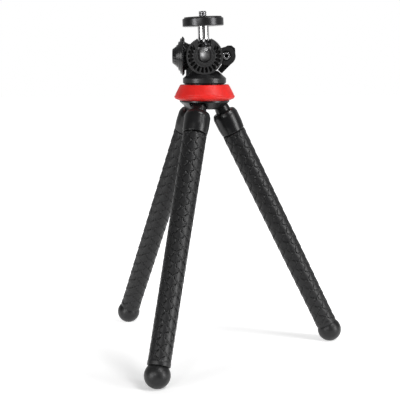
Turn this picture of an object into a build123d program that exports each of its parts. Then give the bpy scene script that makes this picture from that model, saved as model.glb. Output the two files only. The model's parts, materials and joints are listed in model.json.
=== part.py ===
from build123d import *
import os
from math import atan2, cos, degrees, hypot, radians, sin, sqrt, tan

# Small tripod with flexible legs and a ball head. Millimetres.
# The origin is on the head's axis at floor level, +Z is up, +X is to the right of the
# head's front, and the notch that the stem folds into faces -Y.

# Fits between pieces
RUN_GAP = 0.05
SEAT_GAP = 0.3
SWING_GAP = 0.4

# Legs: stance, hinge and flexible tube
LEG_NAMES = ("right", "back", "front")
FIRST_LEG_AZIMUTH = 10.5
FOOT_CIRCLE_R = 108.6
HINGE_R = 12.5
HINGE_Z = 204.0
EYE_R = 5.0
NECK_R = 6.2
COLLAR_AT = 6.7
NECK_INSERT = 10.0
HINGE_PIN_R = 1.5
HINGE_PIN_L = 16.0
COLLAR_TOP_R = 8.6
COLLAR_R = 10.4
COLLAR_END_R = 9.8
COLLAR_L = 18.4
COLLAR_SHOULDER = 4.2
COLLAR_SHOULDER_ARC_R = 5.8
COLLAR_TAIL = 6.0
COLLAR_TAIL_ARC_R = 30.3
CROSS_PIN_R = 1.2
CROSS_PIN_DROP = 5.0
CROSS_PIN_INSET = 0.3
SLEEVE_TOP_R = 9.9
SLEEVE_END_R = 8.9
CORE_R = 2.4
BEND_SHARE = 0.5
BEND_BALL_R = 4.0
BEND_CUP_R = 5.2
BEND_CUP_L = 6.0
BEND_RELIEF = 24.0

# Feet
FOOT_R = 10.0
FOOT_SEAT_R = 7.6
FOOT_FLAT = 0.5
CORE_SHORT = 3.0

# Hub and trim ring
HUB_BELOW_HINGE = 3.8
RING_ABOVE_HINGE = 3.3
HUB_BOTTOM_R = 13.9
HUB_RIM_R = 20.2
HUB_RIM_T = 1.4
HUB_RIM_WALL = 0.6
RING_BORE_R = 17.4
RING_FOOT_R = 20.9
RING_BAND_R = 24.5
RING_SHOULDER_R = 20.5
RING_TOP_R = 19.3
RING_H = 12.5
RING_FOOT_H = 1.7
RING_BAND_H = 3.4
RING_CREASE_DEPTH = 0.4
RING_SHOULDER_DROP = 1.6
PLATE_T = 1.8
PLATE_SINK = 0.2
HUB_SCREW_CIRCLE_R = 10.8
HUB_SCREW_HEAD_R = 1.7
HUB_SCREW_HEAD_H = 1.5
HUB_SCREW_R = 1.1
HUB_SCREW_SINK = 0.7
COVER_R = 4.4
COVER_T = 1.0

# Pan joint between hub and head
PAN_WASHER_R = 15.2
PAN_WASHER_T = 0.6
PAN_BOLT_R = 3.0
PAN_BOLT_HEAD_H = 3.0
PAN_SPRING_T = 0.8
PAN_BOLT_END_WALL = 1.4

# Head base
BASE_FOOT_R = 16.1
BASE_R = 17.5
BASE_CHAMFER = 1.1
BASE_WALL_H = 4.65
BASE_TOP_R = 10.9
BASE_H = 10.5
SADDLE_DEPTH = 0.7
BASE_SCREW_OFFSET = 6.5
BASE_SCREW_R = 1.2
BASE_SCREW_HEAD_R = 2.0
BASE_SCREW_HEAD_H = 1.5
BASE_SCREW_SINK = 0.3
BASE_SCREW_GRIP = 3.0

# Ball, seat and stem
BALL_R = 9.0
STEM_LEAN = 2.2
SEAT_T = 1.35
SEAT_RIM_DROP = 6.2
SEAT_LEAN = 45.0
STEM_COLLAR_R = 5.0
STEM_COLLAR_AT = 7.3
STEM_COLLAR_H = 2.8
STUD_R = 2.5
STUD_DEPTH = 8.0
STEM_R = 4.5
STEM_TAPER_R = 2.8
STEM_TAPER_H = 3.3
STEM_TENON_R = 3.0
STEM_TENON_H = 3.0

# Platform and camera screw
PLATFORM_AT = 23.7
PLATFORM_R = 16.5
PLATFORM_T = 6.6
PLATFORM_TOP_ROUND = 1.1
PLATFORM_BOTTOM_ROUND = 0.5
PAD_R = 15.1
PAD_T = 0.9
SCREW_R = 3.175
SCREW_L = 4.5
SCREW_CHAMFER = 0.5
SCREW_SHANK_R = 2.8
SCREW_SHANK_L = 3.0

# Socket housing
BODY_R = 12.6
BODY_HALF = 11.6
SIDE_TILT = 22.0
NOTCH_HALF = 5.3
SHELL_OVERHANG = 2.2
SHELL_T = 2.4
SHELL_TEETH = 72
SHELL_TOOTH_H = 0.35
SHELL_LIP_INSET = 0.4
SHELL_LIP_W = 0.6
SHELL_LIP_H = 0.3
POCKETS = 22
POCKET_EDGE = 1.9
POCKET_L = 3.1
POCKET_W = 1.7
POCKET_DEPTH = 1.3
SHELL_SCREWS = 4
SHELL_SCREW_INSET = 1.2
SHELL_SCREW_R = 1.0
SHELL_SCREW_HEAD_R = 1.7
SHELL_SCREW_HEAD_H = 1.0
SHELL_SCREW_L = 5.0

# Cam lever on the right
EAR_OUT = 4.9
EAR_R = 7.3
EAR_WEB_HALF = 5.8
LEVER_HALF = 4.9
LEVER_REACH = 9.3
LEVER_BORE_R = 3.2
LEVER_SLANT = 45.0
LEVER_BAR_LEAD = 7.3
LEVER_ROOT_T = 5.0
LEVER_ROOT_BACK = 7.2
LEVER_TIP_T = 4.1
LEVER_SHOULDER_LEAD = 1.2
# Outline of the cam about its pivot: angle in degrees and share of the reach
CAM_PROFILE = (
    (-12, 0.78), (26, 0.87), (41, 1.0), (63, 1.0), (82, 0.9), (121, 0.72), (153, 0.6), (199, 0.59),
)
PIVOT_R = 2.0
PIVOT_HEAD_R = 2.8
PIVOT_HEAD_H = 1.6
PIVOT_KEY_FLATS = 3.0
PIVOT_KEY_DEPTH = 1.1
PIVOT_BORE_R = 4.3
PIVOT_BORE_DEPTH = 2.0
NUT_FLATS = 6.0

# Lock knob on the left
BOSS_ROOT_AT = 6.4
BOSS_NECK_R = 9.8
BOSS_NECK_L = 0.1
BOSS_RIM_R = 12.2
BOSS_FLARE_L = 4.4
BOSS_RIBS = 28
BOSS_RIB_GROOVE_R = 0.45
BOSS_WEB_HALF = 4.5
BOSS_WEB_INSET = 1.4
LOCK_PAD_R = 2.9
LOCK_PAD_OUT = 0.4
LOCK_PAD_TRAVEL = 0.75
LOCK_SCREW_R = 2.5
KNOB_SKIRT_R = 15.6
KNOB_SKIRT_LEAD = 0.7
KNOB_LIP_R = 13.9
KNOB_LIP_LAP = 1.2
KNOB_WAIST_R = 7.75
KNOB_FLARE_L = 4.7
KNOB_WALL = 1.7
KNOB_EDGE_T = 0.6
KNOB_LIP_T = 0.8
KNOB_FLARE_T = 2.7
KNOB_HUB_T = 2.0
KNOB_FACE_R = 5.5
KNOB_CAP_H = 3.4
KNOB_CAP_RIBS = 16
KNOB_CAP_GROOVE_R = 0.4
KNOB_CAP_RIM = 0.4
KNOB_RIDGES = 3
KNOB_RIDGE_R = 0.3

# Sizes that follow
BETWEEN_LEGS = FIRST_LEG_AZIMUTH + 180 / len(LEG_NAMES)
SLOT_HALF = NECK_R + SEAT_GAP
SLOT_INNER_R = HINGE_R - NECK_R - SWING_GAP
SLOT_TOP_Z = HINGE_Z + EYE_R + SWING_GAP
HUB_BOTTOM_Z = HINGE_Z - HUB_BELOW_HINGE
RING_BOTTOM_Z = HINGE_Z + RING_ABOVE_HINGE
RING_TOP_Z = RING_BOTTOM_Z + RING_H
HUB_CORE_R = RING_BORE_R - RUN_GAP
PLATE_TOP_Z = RING_TOP_Z - PLATE_SINK
PLATE_BOTTOM_Z = PLATE_TOP_Z - PLATE_T
BASE_Z = PLATE_TOP_Z + PAN_WASHER_T
BASE_TOP_Z = BASE_Z + BASE_H
BALL_Z = BASE_TOP_Z + BODY_R - SADDLE_DEPTH
COVER_TOP_Z = HUB_BOTTOM_Z + COVER_T
PAN_HEAD_Z = COVER_TOP_Z + SEAT_GAP
PAN_SPRING_Z = PAN_HEAD_Z + PAN_BOLT_HEAD_H
PAN_POCKET_TOP_Z = PAN_SPRING_Z + PAN_SPRING_T
FOOT_Z = FOOT_R - FOOT_FLAT
LEG_DROP = HINGE_Z - FOOT_Z
LEG_REACH = FOOT_CIRCLE_R - HINGE_R
LEG_L = hypot(LEG_DROP, LEG_REACH)
SPLAY = degrees(atan2(LEG_REACH, LEG_DROP))
CORE_SINK = NECK_INSERT - CROSS_PIN_DROP - CROSS_PIN_R - SEAT_GAP
SLEEVE_AT = COLLAR_AT + COLLAR_L
SLEEVE_END = LEG_L - sqrt(FOOT_R ** 2 - FOOT_SEAT_R ** 2)
BEND_AT = SLEEVE_AT + BEND_SHARE * (SLEEVE_END - SLEEVE_AT)
CAVITY_R = BALL_R + RUN_GAP + SEAT_T + RUN_GAP
STEM_BASE = STEM_COLLAR_AT + STEM_COLLAR_H + RUN_GAP
PLATFORM_TOP = PLATFORM_AT + PLATFORM_T
PAD_TOP = PLATFORM_TOP + PAD_T
SHELL_R = BODY_R + SHELL_OVERHANG
SHELL_FACE = BODY_HALF + SHELL_T
SHELL_SCREW_CIRCLE_R = BODY_R - SHELL_SCREW_INSET
POCKET_OUT_R = SHELL_R - POCKET_EDGE
POCKET_IN_R = POCKET_OUT_R - POCKET_L
SHELL_LIP_R = POCKET_IN_R - SHELL_LIP_INSET
EAR_INNER = LEVER_HALF + SEAT_GAP
PIVOT_X = BODY_R + EAR_OUT
PIVOT_ALONG = PIVOT_X * cos(radians(LEVER_SLANT))
LEVER_BAR_OUT = PIVOT_ALONG + LEVER_BAR_LEAD
LEVER_ROOT_AT = PIVOT_ALONG - LEVER_ROOT_BACK
LEVER_SHOULDER_AT = PIVOT_ALONG + LEVER_SHOULDER_LEAD
BOSS_NECK_AT = BODY_R + BOSS_NECK_L
BOSS_RIM_AT = BOSS_NECK_AT + BOSS_FLARE_L
LOCK_PAD_END = BODY_R + LOCK_PAD_OUT
KNOB_LIP_AT = BOSS_RIM_AT - KNOB_LIP_LAP
KNOB_SKIRT_AT = BOSS_RIM_AT + KNOB_SKIRT_LEAD
KNOB_WAIST_AT = KNOB_SKIRT_AT + KNOB_FLARE_L
KNOB_FACE_AT = KNOB_WAIST_AT + KNOB_CAP_H

FROM_START = (Align.CENTER, Align.CENTER, Align.MIN)
ALONG = {"X": Rot(0, 90, 0), "Y": Rot(-90, 0, 0), "Z": Rot(0, 0, 0)}
HEAD = Pos(0, 0, BALL_Z)
STEM = HEAD * Rot(0, -STEM_LEAN, 0)


def bar(axis, radius, start, end):
    """Round bar along one axis, from start to end."""
    return ALONG[axis] * Pos(0, 0, start) * Cylinder(radius, end - start, align=FROM_START)


def turned(points):
    """Solid of revolution about Z from a closed outline of (radius, height) points."""
    outline = make_face(Plane.XZ * Polyline(*points, close=True))
    return revolve(outline, Axis.Z)


def plate(points, half):
    """Flat piece in the XZ plane, half thick on each side of it."""
    outline = make_face(Plane.XZ * Polyline(*points, close=True))
    return extrude(outline, amount=half, both=True)


def around(count, shape, first=0.0):
    """Copies of a shape, evenly spaced about Z."""
    return [Rot(0, 0, first + i * 360 / count) * shape for i in range(count)]


def save(name, shape):
    export_step(shape, f"parts/{name}.step")


def leg_azimuth(index):
    return FIRST_LEG_AZIMUTH + index * 360 / len(LEG_NAMES)


# Legs are drawn hanging down from the hinge, outside to +X, then swung out and placed.

def leg_place(index):
    return Rot(0, 0, leg_azimuth(index)) * Pos(HINGE_R, 0, HINGE_Z) * Rot(0, -SPLAY, 0)


def sleeve_radius(distance):
    share = (distance - SLEEVE_AT) / (SLEEVE_END - SLEEVE_AT)
    return SLEEVE_TOP_R + share * (SLEEVE_END_R - SLEEVE_TOP_R)


def knuckle():
    """Hinge eye that widens into the round neck, which is pinned in the collar."""
    neck_end = COLLAR_AT + NECK_INSERT
    side = plate(
        [(-EYE_R, 0), (-NECK_R, -COLLAR_AT), (-NECK_R, -neck_end),
         (NECK_R, -neck_end), (NECK_R, -COLLAR_AT), (EYE_R, 0)],
        NECK_R,
    )
    side += bar("Y", EYE_R, -NECK_R, NECK_R)
    body = side & bar("Z", NECK_R, -neck_end, EYE_R)
    body -= bar("Y", HINGE_PIN_R + RUN_GAP, -NECK_R, NECK_R)
    body -= bar("Z", CORE_R, -neck_end, CORE_SINK - neck_end)
    return body - cross_pin()


def cross_pin():
    drop = COLLAR_AT + CROSS_PIN_DROP
    half = COLLAR_R - CROSS_PIN_INSET
    return Pos(0, 0, -drop) * bar("Y", CROSS_PIN_R, -half, half)


def collar():
    """Barrel-shaped collar with a rounded shoulder and a drawn-in lower end."""
    outer = Line((NECK_R + RUN_GAP, 0), (COLLAR_TOP_R, 0))
    shoulder = RadiusArc((COLLAR_TOP_R, 0), (COLLAR_R, -COLLAR_SHOULDER), COLLAR_SHOULDER_ARC_R)
    wall = Line((COLLAR_R, -COLLAR_SHOULDER), (COLLAR_R, COLLAR_TAIL - COLLAR_L))
    tail = RadiusArc((COLLAR_R, COLLAR_TAIL - COLLAR_L), (COLLAR_END_R, -COLLAR_L), COLLAR_TAIL_ARC_R)
    inner = Polyline(
        (COLLAR_END_R, -COLLAR_L), (CORE_R, -COLLAR_L), (CORE_R, -NECK_INSERT),
        (NECK_R + RUN_GAP, -NECK_INSERT), (NECK_R + RUN_GAP, 0),
    )
    outline = Plane.XZ * make_face(outer + shoulder + wall + tail + inner)
    body = Pos(0, 0, -COLLAR_AT) * revolve(outline, Axis.Z)
    return body - cross_pin()


def bend_relief():
    """Double cone that is left free round the bend, so that the halves can lean."""
    reach = 2 * SLEEVE_TOP_R
    rise = reach * tan(radians(BEND_RELIEF))
    return Pos(0, 0, -BEND_AT) * turned([(0, 0), (reach, rise), (reach, -rise)])


def upper_core():
    start = COLLAR_AT + NECK_INSERT - CORE_SINK
    return bar("Z", CORE_R, -BEND_AT, -start) + Pos(0, 0, -BEND_AT) * Sphere(BEND_BALL_R)


def lower_core():
    cup = bar("Z", BEND_CUP_R, -BEND_AT - BEND_CUP_L, -BEND_AT)
    rod = bar("Z", CORE_R, CORE_SHORT - LEG_L, -BEND_AT)
    ball = Pos(0, 0, -BEND_AT) * Sphere(BEND_BALL_R + RUN_GAP)
    return cup + rod - ball - bend_relief()


def sleeve(start, end):
    return turned([
        (CORE_R, -start), (sleeve_radius(start), -start),
        (sleeve_radius(end), -end), (CORE_R, -end),
    ])


def upper_sleeve():
    ball = Pos(0, 0, -BEND_AT) * Sphere(BEND_BALL_R)
    return sleeve(SLEEVE_AT, BEND_AT) - ball - bend_relief()


def lower_sleeve():
    cup = bar("Z", BEND_CUP_R, -BEND_AT - BEND_CUP_L, -BEND_AT)
    return sleeve(BEND_AT, SLEEVE_END) - cup - bend_relief()


def foot(index):
    """Rubber ball, cut flat where the sleeve meets it and where it stands."""
    body = Pos(0, 0, -LEG_L) * Sphere(FOOT_R)
    body -= bar("Z", CORE_R, CORE_SHORT - LEG_L, FOOT_R - LEG_L)
    body -= bar("Z", FOOT_R, -SLEEVE_END, FOOT_R - LEG_L)
    floor = Pos(0, 0, -FOOT_R) * Box(4 * FOOT_CIRCLE_R, 4 * FOOT_CIRCLE_R, 2 * FOOT_R)
    return leg_place(index) * body - floor


def hinge_pin(index):
    place = Rot(0, 0, leg_azimuth(index)) * Pos(HINGE_R, 0, HINGE_Z)
    return place * bar("Y", HINGE_PIN_R, -HINGE_PIN_L / 2, HINGE_PIN_L / 2)


# Hub: the black block that carries the legs, and what is fixed to it.

def hub_screws(head_start=HUB_BOTTOM_Z + HUB_SCREW_SINK):
    """Screws up into the plate. A lower start of the heads gives the room to drive them."""
    head_end = HUB_BOTTOM_Z + HUB_SCREW_SINK + HUB_SCREW_HEAD_H
    screw = bar("Z", HUB_SCREW_HEAD_R, head_start, head_end)
    screw += bar("Z", HUB_SCREW_R, head_end, PLATE_TOP_Z - HUB_SCREW_SINK)
    return around(len(LEG_NAMES), Pos(HUB_SCREW_CIRCLE_R, 0, 0) * screw, BETWEEN_LEGS)


def hub():
    rim_z = RING_BOTTOM_Z - HUB_RIM_T
    body = turned([
        (0, HUB_BOTTOM_Z), (HUB_BOTTOM_R, HUB_BOTTOM_Z), (HUB_RIM_R, rim_z), (HUB_RIM_R, RING_BOTTOM_Z),
        (HUB_CORE_R, RING_BOTTOM_Z), (HUB_CORE_R, PLATE_BOTTOM_Z), (0, PLATE_BOTTOM_Z),
    ])
    inside_rim = bar("Z", HUB_RIM_R - HUB_RIM_WALL, 0, SLOT_TOP_Z)
    for index in range(len(LEG_NAMES)):
        room = slot(2 * HUB_RIM_R, rim_z) + (slot(HUB_RIM_R, SLOT_TOP_Z) & inside_rim)
        body -= Rot(0, 0, leg_azimuth(index)) * room
        body -= hinge_pin(index)
    for screw in hub_screws(0):
        body -= screw
    body -= bar("Z", COVER_R, 0, PAN_POCKET_TOP_Z)
    return body - bar("Z", PAN_BOLT_R + RUN_GAP, 0, PLATE_TOP_Z)


def slot(outer, top):
    """Room for one knuckle, open below and outwards."""
    low = HUB_BOTTOM_Z - HUB_BELOW_HINGE
    long = outer - SLOT_INNER_R
    place = Pos(SLOT_INNER_R + long / 2, 0, (low + top) / 2)
    return place * Box(long, 2 * SLOT_HALF, top - low)


def trim_ring():
    """Wide ring round the hub: sloping face, upright band and chamfered foot."""
    return turned([
        (RING_BORE_R, RING_BOTTOM_Z), (RING_FOOT_R, RING_BOTTOM_Z),
        (RING_BAND_R - RING_CREASE_DEPTH, RING_BOTTOM_Z + RING_FOOT_H),
        (RING_BAND_R, RING_BOTTOM_Z + RING_BAND_H),
        (RING_SHOULDER_R, RING_TOP_Z - RING_SHOULDER_DROP),
        (RING_TOP_R, RING_TOP_Z), (RING_BORE_R, RING_TOP_Z),
    ])


def bearing_plate():
    plate_disc = bar("Z", HUB_CORE_R, PLATE_BOTTOM_Z, PLATE_TOP_Z)
    for screw in hub_screws():
        plate_disc -= screw
    return plate_disc - bar("Z", PAN_BOLT_R + RUN_GAP, PLATE_BOTTOM_Z, PLATE_TOP_Z)


def pan_washer():
    washer = bar("Z", PAN_WASHER_R, PLATE_TOP_Z, BASE_Z)
    return washer - bar("Z", PAN_BOLT_R + RUN_GAP, PLATE_TOP_Z, BASE_Z)


def pan_spring_washer():
    washer = bar("Z", COVER_R - 2 * RUN_GAP, PAN_SPRING_Z, PAN_POCKET_TOP_Z)
    return washer - bar("Z", PAN_BOLT_R + RUN_GAP, PAN_SPRING_Z, PAN_POCKET_TOP_Z)


def pan_bolt():
    head = bar("Z", COVER_R - 2 * RUN_GAP, PAN_HEAD_Z, PAN_SPRING_Z)
    return head + bar("Z", PAN_BOLT_R, PAN_HEAD_Z, BASE_TOP_Z - SADDLE_DEPTH - PAN_BOLT_END_WALL)


# Head: everything that pans. The housing is drawn about the ball's centre.

def base_screws(head_start=BASE_Z + BASE_SCREW_SINK):
    """Screws up into the housing. A lower start of the heads gives the room to drive them."""
    head_end = BASE_Z + BASE_SCREW_SINK + BASE_SCREW_HEAD_H
    screw = bar("Z", BASE_SCREW_HEAD_R, head_start, head_end)
    screw += bar("Z", BASE_SCREW_R, head_end, BALL_Z - BODY_R + BASE_SCREW_GRIP)
    return [Pos(0, side * BASE_SCREW_OFFSET, 0) * screw for side in (-1, 1)]


def head_base():
    """Round foot with a cone on top, hollowed to the shape of the housing."""
    body = turned([
        (0, BASE_Z), (BASE_FOOT_R, BASE_Z), (BASE_R, BASE_Z + BASE_CHAMFER),
        (BASE_R, BASE_Z + BASE_WALL_H), (BASE_TOP_R, BASE_TOP_Z), (0, BASE_TOP_Z),
    ])
    body -= pan_bolt()
    body -= HEAD * bar("Y", BODY_R, -BODY_HALF, BODY_HALF)
    relief_r = SHELL_R + RUN_GAP
    for side in (-1, 1):
        inner = side * BODY_HALF
        outer = side * (SHELL_FACE + SHELL_LIP_H)
        body -= HEAD * bar("Y", relief_r, min(inner, outer), max(inner, outer))
    for screw in base_screws(0):
        body -= screw
    return body + boss_web()


def boss_web():
    """Upright web on the base's cone that stiffens it under the knob's boss."""
    outer = KNOB_LIP_AT - BOSS_WEB_INSET + SWING_GAP
    web = plate([(-BOSS_ROOT_AT, BALL_Z), (-outer, BALL_Z), (-outer, BASE_Z + BASE_WALL_H),
                 (-BOSS_ROOT_AT, BASE_Z + BASE_WALL_H)], BOSS_WEB_HALF)
    cone = turned([(0, BASE_Z + BASE_WALL_H), (BASE_R, BASE_Z + BASE_WALL_H), (BASE_TOP_R, BASE_TOP_Z), (0, BASE_TOP_Z)])
    web -= HEAD * bar("Y", BODY_R, -BODY_HALF, BODY_HALF)
    return web - HEAD * Rot(0, -90, 0) * boss_blank(RUN_GAP) - cone


def notch(start, end):
    """U-shaped way for the stem, open at the top."""
    height = 2 * SHELL_R
    cut = bar("Y", NOTCH_HALF, start, end)
    return cut + Pos(0, (start + end) / 2, height / 2) * Box(2 * NOTCH_HALF, end - start, height)


def trough():
    """Room above the ball for the stem to lean to either side."""
    reach = 2 * BODY_R
    width = 2 * NOTCH_HALF
    arm = Pos(0, 0, reach / 2) * Box(width, width, reach)
    return arm + Rot(0, SIDE_TILT, 0) * arm + Rot(0, -SIDE_TILT, 0) * arm


def pivot_screw():
    """Screw on which the lever swings, with a six-sided socket in its head."""
    head_y = BODY_HALF - PIVOT_BORE_DEPTH
    head = bar("Y", PIVOT_HEAD_R, -head_y - PIVOT_HEAD_H, -head_y)
    hexagon = Plane.XZ * RegularPolygon(PIVOT_KEY_FLATS / 2, 6, major_radius=False)
    socket = Pos(0, -head_y - PIVOT_HEAD_H, 0) * extrude(hexagon, amount=-PIVOT_KEY_DEPTH)
    shank = bar("Y", PIVOT_R, -head_y, head_y + PIVOT_HEAD_H)
    return Pos(PIVOT_X, 0, 0) * (head + shank - socket)


def pivot_nut():
    seat_y = BODY_HALF - PIVOT_BORE_DEPTH
    hexagon = Plane.XZ * RegularPolygon(NUT_FLATS / 2, 6, major_radius=False)
    nut = Pos(0, seat_y, 0) * extrude(hexagon, amount=-PIVOT_HEAD_H)
    return Pos(PIVOT_X, 0, 0) * (nut - bar("Y", PIVOT_R, seat_y, BODY_HALF))


def socket_body():
    """Housing round the ball, with two ears for the lever."""
    body = bar("Y", BODY_R, -BODY_HALF, BODY_HALF)
    for side in (-1, 1):
        middle = side * (EAR_INNER + BODY_HALF) / 2
        thick = BODY_HALF - EAR_INNER
        body += Pos(PIVOT_X / 2, middle, 0) * Box(PIVOT_X, thick, 2 * EAR_WEB_HALF)
        body += Pos(PIVOT_X, middle, 0) * bar("Y", EAR_R, -thick / 2, thick / 2)
    body -= Sphere(CAVITY_R)
    body -= notch(-BODY_HALF, 0)
    body -= trough()
    body -= Pos(PIVOT_X, 0, 0) * bar("Y", LEVER_REACH + SWING_GAP, -EAR_INNER, EAR_INNER)
    body -= bar("X", LOCK_PAD_R + RUN_GAP, -BODY_R, 0)
    body -= Pos(PIVOT_X, 0, 0) * bar("Y", PIVOT_R, -BODY_HALF, BODY_HALF)
    bore_floor = BODY_HALF - PIVOT_BORE_DEPTH
    body -= Pos(PIVOT_X, 0, 0) * bar("Y", PIVOT_BORE_R, -BODY_HALF, -bore_floor)
    body -= Pos(PIVOT_X, 0, 0) * bar("Y", PIVOT_BORE_R, bore_floor, BODY_HALF)
    for screw in shell_screws():
        body -= screw
    for screw in base_screws():
        body -= HEAD.inverse() * screw
    return body


def shell_disc():
    """Round cheek, its face at Z = SHELL_T. Its rim is finely toothed, and plain beside the notch."""
    pitch = 360 / SHELL_TEETH
    plain_half = NOTCH_HALF + SHELL_R * radians(pitch)
    rim = []
    for tooth in range(SHELL_TEETH):
        middle = radians((tooth + 0.5) * pitch)
        plain = sin(middle) > 0 and abs(SHELL_R * cos(middle)) < plain_half
        corners = [(0.0, SHELL_R), (0.5, SHELL_R)]
        if not plain:
            corners += [(0.5, SHELL_R - SHELL_TOOTH_H), (1.0, SHELL_R - SHELL_TOOTH_H)]
        for share, radius in corners:
            angle = radians((tooth + share) * pitch)
            rim.append((radius * cos(angle), radius * sin(angle)))
    return extrude(make_face(Polyline(*rim, close=True)), amount=SHELL_T)


def front_shell():
    """Front cheek with its lip, ring of pockets and U notch."""
    disc = shell_disc()
    disc += Pos(0, 0, SHELL_T) * (
        Cylinder(SHELL_LIP_R + SHELL_LIP_W / 2, SHELL_LIP_H, align=FROM_START)
        - Cylinder(SHELL_LIP_R - SHELL_LIP_W / 2, SHELL_LIP_H, align=FROM_START)
    )
    pocket = Pos(POCKET_IN_R + POCKET_L / 2, 0, SHELL_T) * Box(POCKET_L, POCKET_W, 2 * POCKET_DEPTH)
    clear = NOTCH_HALF + POCKET_W / 2 + SEAT_GAP
    for i in range(POCKETS):
        angle = 90 + (i + 0.5) * 360 / POCKETS
        over_notch = sin(radians(angle)) > 0
        if over_notch and abs(POCKET_IN_R * cos(radians(angle))) < clear:
            continue
        disc -= Rot(0, 0, angle) * pocket
    placed = Pos(0, -BODY_HALF, 0) * Rot(90, 0, 0) * disc
    return placed - notch(-SHELL_FACE - SHELL_LIP_H, -BODY_HALF)


def back_shell():
    disc = Pos(0, BODY_HALF, 0) * Rot(-90, 0, 0) * shell_disc()
    for screw in shell_screws():
        disc -= screw
    return disc


def shell_screws():
    head = bar("Y", SHELL_SCREW_HEAD_R, SHELL_FACE - SHELL_SCREW_HEAD_H, SHELL_FACE)
    screw = head + bar("Y", SHELL_SCREW_R, BODY_HALF - SHELL_SCREW_L, SHELL_FACE)
    turns = [radians((i + 0.5) * 360 / SHELL_SCREWS) for i in range(SHELL_SCREWS)]
    return [Pos(SHELL_SCREW_CIRCLE_R * cos(a), 0, SHELL_SCREW_CIRCLE_R * sin(a)) * screw for a in turns]


def boss_blank(gap=0.0):
    """Plain form of the knob's boss, drawn along +Z, larger by a gap."""
    return turned([
        (0, BOSS_ROOT_AT), (BOSS_NECK_R + gap, BOSS_ROOT_AT),
        (BOSS_NECK_R + gap, BOSS_NECK_AT), (BOSS_RIM_R + gap, BOSS_RIM_AT), (0, BOSS_RIM_AT),
    ])


def knob_boss():
    """Ribbed cone between the housing and the knob, threaded for the lock screw."""
    body = boss_blank()
    long = BOSS_RIM_AT - BOSS_NECK_AT
    slope = degrees(atan2(BOSS_RIM_R - BOSS_NECK_R, long))
    groove = Rot(0, slope, 0) * bar("Z", BOSS_RIB_GROOVE_R, -long, 2 * long)
    groove = Pos(BOSS_NECK_R, 0, BOSS_NECK_AT) * groove
    for copy in around(BOSS_RIBS, groove):
        body -= copy
    body -= bar("Z", LOCK_PAD_R + RUN_GAP, 0, LOCK_PAD_END + LOCK_PAD_TRAVEL + SEAT_GAP)
    body -= bar("Z", LOCK_SCREW_R + RUN_GAP, 0, BOSS_RIM_AT)
    placed = Rot(0, -90, 0) * body
    return placed - bar("Y", BODY_R, -BODY_HALF, BODY_HALF) - trough()


# The knob, its cap and screw turn together, drawn along +Z and laid along -X.

def lock_knob():
    """Flared skirt with ridges on its face and a turned-in lip."""
    edge_at = KNOB_SKIRT_AT - KNOB_EDGE_T
    floor_at = KNOB_WAIST_AT - KNOB_HUB_T
    body = turned([
        (LOCK_SCREW_R, KNOB_WAIST_AT), (KNOB_WAIST_R, KNOB_WAIST_AT),
        (KNOB_SKIRT_R, KNOB_SKIRT_AT), (KNOB_SKIRT_R, edge_at),
        (KNOB_LIP_R, KNOB_LIP_AT), (KNOB_LIP_R - KNOB_LIP_T, KNOB_LIP_AT + KNOB_LIP_T),
        (KNOB_SKIRT_R - KNOB_FLARE_T, edge_at),
        (KNOB_WAIST_R - KNOB_LIP_T, floor_at), (LOCK_SCREW_R, floor_at),
    ])
    for ridge in range(1, KNOB_RIDGES + 1):
        share = ridge / (KNOB_RIDGES + 1)
        radius = KNOB_WAIST_R + share * (KNOB_SKIRT_R - KNOB_WAIST_R)
        height = KNOB_WAIST_AT + share * (KNOB_SKIRT_AT - KNOB_WAIST_AT)
        body += Pos(0, 0, height) * Torus(radius, KNOB_RIDGE_R)
    return Rot(0, -90, 0) * body


def lock_knob_cap():
    """Bevelled cap with short ribs on its bevel."""
    body = turned([
        (LOCK_SCREW_R, KNOB_WAIST_AT), (KNOB_WAIST_R, KNOB_WAIST_AT), (KNOB_FACE_R, KNOB_FACE_AT),
        (0, KNOB_FACE_AT), (0, KNOB_FACE_AT - KNOB_WALL), (LOCK_SCREW_R, KNOB_FACE_AT - KNOB_WALL),
    ])
    rise = KNOB_FACE_AT - KNOB_WAIST_AT
    slope = degrees(atan2(KNOB_FACE_R - KNOB_WAIST_R, rise))
    groove = Rot(0, slope, 0) * bar("Z", KNOB_CAP_GROOVE_R, KNOB_CAP_RIM, 2 * rise)
    groove = Pos(KNOB_WAIST_R, 0, KNOB_WAIST_AT) * groove
    for copy in around(KNOB_CAP_RIBS, groove):
        body -= copy
    return Rot(0, -90, 0) * body


def lock_screw():
    start = LOCK_PAD_END + LOCK_PAD_TRAVEL + 2 * SEAT_GAP
    return bar("X", LOCK_SCREW_R, KNOB_WALL - KNOB_FACE_AT, -start)


def lock_pad():
    return bar("X", LOCK_PAD_R, -LOCK_PAD_END, 0) - Sphere(BALL_R + RUN_GAP)


def lever_point(out, along):
    """Point of the slanting bar: its distance out from the ball's centre, and along the bar."""
    slant = radians(LEVER_SLANT)
    return out * cos(slant) + along * sin(slant), along * cos(slant) - out * sin(slant)


def above_cone(out):
    """Point of the bar, out from the ball's centre, where it ends just above the base's cone."""
    slant = radians(LEVER_SLANT)
    slope = (BASE_H - BASE_WALL_H) / (BASE_R - BASE_TOP_R)
    cone_top = SADDLE_DEPTH - BODY_R + SWING_GAP * hypot(1, slope)
    rise = cone_top + slope * (BASE_TOP_R - out * cos(slant)) + out * sin(slant)
    return lever_point(out, rise / (cos(slant) + slope * sin(slant)))


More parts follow.
